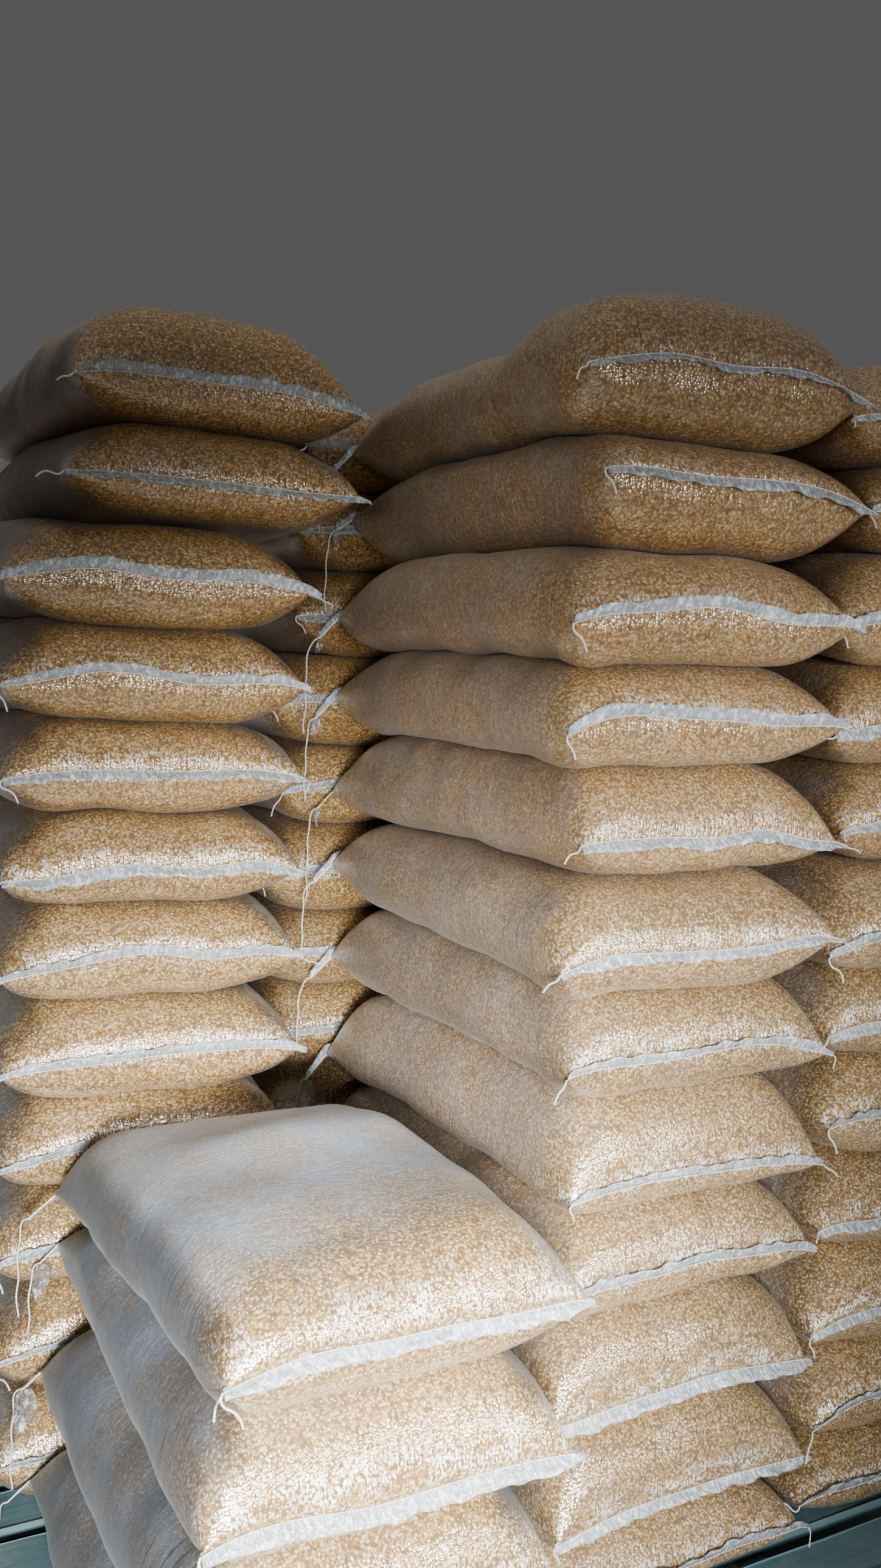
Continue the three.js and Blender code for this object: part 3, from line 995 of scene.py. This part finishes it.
def add_flap(trim, sack, end, fold):
    """The empty strip of film beyond the seam, leaning up or down against the sack."""
    rng = dice(sack.name, sack.twin, end, "flap")
    line = seam_line(sack, end)
    outward = sack.outward if end == "near" else -sack.outward
    left_run, right_run, sink = [rng.uniform(*FLAP_ENDS[end][key]) for key in ("left", "right", "sink")]
    left = line[0] - sack.rightward * left_run * MM - UP * left_run * sink * MM
    right = line[-1] + sack.rightward * right_run * MM - UP * right_run * RIGHT_SINK * MM
    line = resample([left, *line, right], sack.stack["mesh"]["trim"] + 1)
    lean = wave_field(rng, *LEAN_WAVE)
    ripple = wave_field(rng, *RIPPLE_WAVE)
    ragged = wave_field(rng, *RAGGED_WAVE)
    flap_width = FLAP_WIDTH * rng.uniform(0.85, 1.2)
    rings = []
    for k, point in enumerate(line):
        along = k / (len(line) - 1)
        reach = along * FLAP_LENGTH
        angle = fold * (FLAP_ANGLE + float(lean(reach, 0)))
        ahead = outward * math.cos(angle) + UP * math.sin(angle)
        aside = UP * math.cos(angle) - outward * math.sin(angle)
        wide = flap_width + float(ragged(reach, 0))
        wide *= min(1, 0.55 + 4 * along, 0.4 + 6 * (1 - along))
        row = []
        for step in range(FLAP_STEPS + 1):
            share = step / FLAP_STEPS
            out = -FLAP_ROOT + (wide + FLAP_ROOT) * share
            bow = share * float(ripple(reach, 30 * share)) + 3 * share ** 2
            row.append(point + ahead * out * MM + aside * bow * MM)
        rings.append(sheet_ring(row, aside))
    trim.loops(rings)
    return line


def add_scrap(trim, sack, start, length, rng):
    """The loose corner of a bag: a crumpled scrap of film that hangs from the end of a seam."""
    crumple = wave_field(rng, *CRUMPLE_WAVE)
    facing = rng.uniform(-0.5, 0.1)
    aside = sack.rightward * math.cos(facing) + sack.outward * math.sin(facing)
    ahead = aside.cross(UP)
    rings = []
    for k in range(SCRAP_ROWS + 1):
        share = k / SCRAP_ROWS
        wide = length * (0.22 + 0.3 * math.sin(math.pi * min(1, share * 1.15)) ** 0.7)
        middle = start - UP * length * share * MM - sack.rightward * 5 * share * MM
        row = []
        for column in range(SCRAP_COLUMNS + 1):
            across = (column / SCRAP_COLUMNS - 0.35) * wide
            bend = float(crumple(share * length, across)) + 0.2 * abs(across)
            row.append(middle + (aside * across + ahead * bend) * MM)
        rings.append(sheet_ring(row, ahead))
    trim.loops(rings)


def add_tube(trim, points, radius, sides, beads):
    """A round thread through points, thicker and thinner in turn where it is chained."""
    rings = []
    for k, point in enumerate(points):
        ahead = (points[min(k + 1, len(points) - 1)] - points[max(k - 1, 0)]).normalized()
        aside = ahead.cross(Vector((0.31, 0.17, 0.93))).normalized()
        over = ahead.cross(aside)
        wide = radius * (1 + (beads if k % 2 else -beads))
        ring = []
        for side in range(sides):
            angle = math.tau * side / sides
            ring.append(point + (aside * math.cos(angle) + over * math.sin(angle)) * wide * MM)
        rings.append(ring)
    trim.loops(rings)


def tail(start, heading, length, rng):
    """A thread end that leaves its seam and hangs down with a few slow kinks, as points in metres."""
    points = [start]
    direction = heading.normalized()
    swing = rng.uniform(0, math.tau)
    for k in range(int(length / TAIL_STEP)):
        pull = Vector((0.3 * math.sin(swing + 0.35 * k), 0.3 * math.cos(swing + 0.27 * k), -1))
        direction = (direction + 0.28 * pull).normalized()
        points.append(points[-1] + direction * TAIL_STEP * MM)
    return points


def curl(start, heading, length, rng):
    """A short stiff thread end that winds into a small open loop."""
    points = [start]
    direction = heading.normalized()
    turn_axis = Vector((rng.uniform(-0.5, 0.5), -1, rng.uniform(-0.5, 0.5))).normalized()
    if rng.random() < 0.5:
        turn_axis = -turn_axis
    pace = math.radians(rng.uniform(*CURL_TURN))
    steps = length / CURL_STEP
    for k in range(int(steps)):
        angle = pace * math.sin(math.pi * min(1, 2 * k / steps))
        direction.rotate(Matrix.Rotation(angle, 3, turn_axis))
        direction = (direction - UP * 0.12).normalized()
        points.append(points[-1] + direction * CURL_STEP * MM)
    return points


def path_length(points):
    return sum((b - a).length for a, b in zip(points, points[1:]))


def add_stitches(trim, sack, end, line):
    """The chain of thread along the seam."""
    outward = sack.outward if end == "near" else -sack.outward
    fine = sack.stack["mesh"] is FINE and end == "near"
    pitch = STITCH_PITCH / 2 if fine else STITCH_PITCH * 2
    count = max(8, int(path_length(line) / (pitch * MM)))
    chain = [point + outward * STITCH_OUT * MM for point in resample(line, count)]
    add_tube(trim, chain, THREAD_RADIUS, 4, 0.35)


def dress_sack(sack, films, scraps, threads, cords):
    """The flaps, stitches and thread ends of one sack."""
    is_front = sack.stack is FRONT
    for end in ("near", "far"):
        rng = dice(sack.name, sack.twin, end, "thread")
        fold = rng.choice((1, 1, -1))
        line = add_flap(films, sack, end, -1 if is_front else fold)
        add_stitches(threads, sack, end, line)
        outward = sack.outward if end == "near" else -sack.outward
        heading = -sack.rightward + outward * 0.8
        if end == "near":
            heading -= UP * 0.8
            for _ in range(2 if is_front else 1):
                scatter = Vector((rng.uniform(-0.4, 0.4), 0, rng.uniform(-0.4, 0.2)))
                end_thread = curl(line[0], heading + scatter, rng.uniform(*CURL_LENGTH), rng)
                add_tube(threads, end_thread, TAIL_RADIUS, 5, 0.3)
            if rng.random() < 0.5:
                outer = sack.rightward + outward - UP
                end_thread = curl(line[-1], outer, rng.uniform(*SHORT_CURL_LENGTH), rng)
                add_tube(threads, end_thread, TAIL_RADIUS * 0.8, 5, 0.3)
        elif sack.stack["name"] in SCRAP_LENGTH:
            length = SCRAP_LENGTH[sack.stack["name"]]
            if rng.random() < SCRAP_CHANCE:
                add_scrap(scraps, sack, line[0], length * rng.uniform(0.8, 1.2), rng)
            hanging = tail(line[0], heading, rng.uniform(*TAIL_LENGTH), rng)
            corner = seam_line(sack, end)[0]
            cords.append((sack, resample([corner, *hanging], 2 * len(hanging))))


def add_sacks():
    maize = maize_in_film()
    film = clear_film("clear_film", **FLAP_FILM)
    # The scraps' film is a darker copy of the flaps' film: painted shade
    loose_film = clear_film("loose_film", **SHADED_SCRAP_FILM)
    thread = white_thread()
    for stack in STACKS:
        films, scraps, threads = Trim(), Trim(), Trim()
        cords = []
        for layer in range(len(stack["layers"])):
            twins = (0, 1) if stack.get("twin") else (None,)
            sacks = [Sack(stack, layer, twin) for twin in twins]
            points, faces, values = joined([sack.build() for sack in sacks])
            name = sacks[0].name
            made = new_object(f"{name}_bag", points, faces, maize, values)
            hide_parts(name)
            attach(made, "root")
            for sack in sacks:
                dress_sack(sack, films, scraps, threads, cords)
        label = f"{stack['name']}_{stack.get('first', 1):02d}"
        trims = (("film", films, film), ("ears", scraps, loose_film), ("thread", threads, thread))
        for part, trim, material in trims:
            if trim.points:
                made = new_object(f"{part}_{label}", trim.points, trim.faces, material)
                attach(made, "root")
        for sack, points in cords:
            cord = Trim()
            add_tube(cord, points, TAIL_RADIUS, 6, 0.16)
            made = new_object(f"thread_tail_{sack.name}", cord.points, cord.faces, thread)
            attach(made, "root")


# The pallet

def add_plank(trim, low, high, rng, long_axis):
    """A board or bearer in millimetres, with worn edges that are nowhere quite straight."""
    wide_axis, thick_axis = [axis for axis in range(3) if axis != long_axis]
    chip = wave_field(rng, *CHIP_WAVE)
    length = high[long_axis] - low[long_axis]
    stations = [0, *np.linspace(WORN_EDGE, length - WORN_EDGE, PLANK_STATIONS), length]
    rings = []
    for k, station in enumerate(stations):
        is_end = k in (0, len(stations) - 1)
        ring = []
        for corner, (right, top) in enumerate(((0, 0), (1, 0), (1, 1), (0, 1))):
            inset = WORN_EDGE * (1 + 0.4 * float(chip(station, corner * 90)))
            edge = inset if is_end else 0
            for first in (0, 1):
                along_wide, along_thick = (inset, edge) if first == corner % 2 else (edge, inset)
                spot = [0, 0, 0]
                spot[long_axis] = low[long_axis] + station
                spot[wide_axis] = high[wide_axis] - along_wide if right else low[wide_axis] + along_wide
                spot[thick_axis] = high[thick_axis] - along_thick if top else low[thick_axis] + along_thick
                ring.append(Vector(spot) * MM)
        rings.append(ring)
    trim.loops(rings)


def add_pallet():
    timber = painted_timber()
    base_top = BASE_BOARD["thick"]
    bearer_top = base_top + BEARER["height"]
    half_width = PALLET_WIDTH / 2
    half_depth = PALLET_DEPTH / 2

    def piece(name, boxes, nodes, long_axis):
        planks = Trim()
        for number, (low, high) in enumerate(boxes):
            add_plank(planks, low, high, dice(name, number), long_axis)
        made = new_object(name, planks.points, planks.faces, timber, smooth=False)
        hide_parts(*nodes)
        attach(made, "root")

    deck = []
    for number in range(BOARD["count"]):
        start = -half_depth + number * (BOARD["width"] + BOARD["gap"])
        rng = dice("deck", number)
        short = rng.uniform(*BOARD_SHORTFALL)
        deck.append((
            (-half_width + short, start, bearer_top),
            (half_width - rng.uniform(*BOARD_SHORTFALL), start + BOARD["width"], DECK_TOP),
        ))
    piece("deck_timber", deck, ["deck_boards"], 0)
    step = (PALLET_WIDTH - BEARER["width"]) / (BEARER["count"] - 1)
    for number in range(BEARER["count"]):
        left = -half_width + number * step
        box = ((left, -half_depth, base_top), (left + BEARER["width"], half_depth, bearer_top))
        piece(f"bearer_timber_{number + 1}", [box], [f"bearer_{number + 1}"], 1)
    step = (PALLET_DEPTH - BASE_BOARD["width"]) / 2
    for number, side in enumerate(("front", "middle", "back")):
        start = -half_depth + number * step
        box = ((-half_width, start, 0), (half_width, start + BASE_BOARD["width"], base_top))
        piece(f"base_timber_{side}", [box], [f"base_board_{side}"], 0)


add_camera()
add_stage()
add_sacks()
add_pallet()
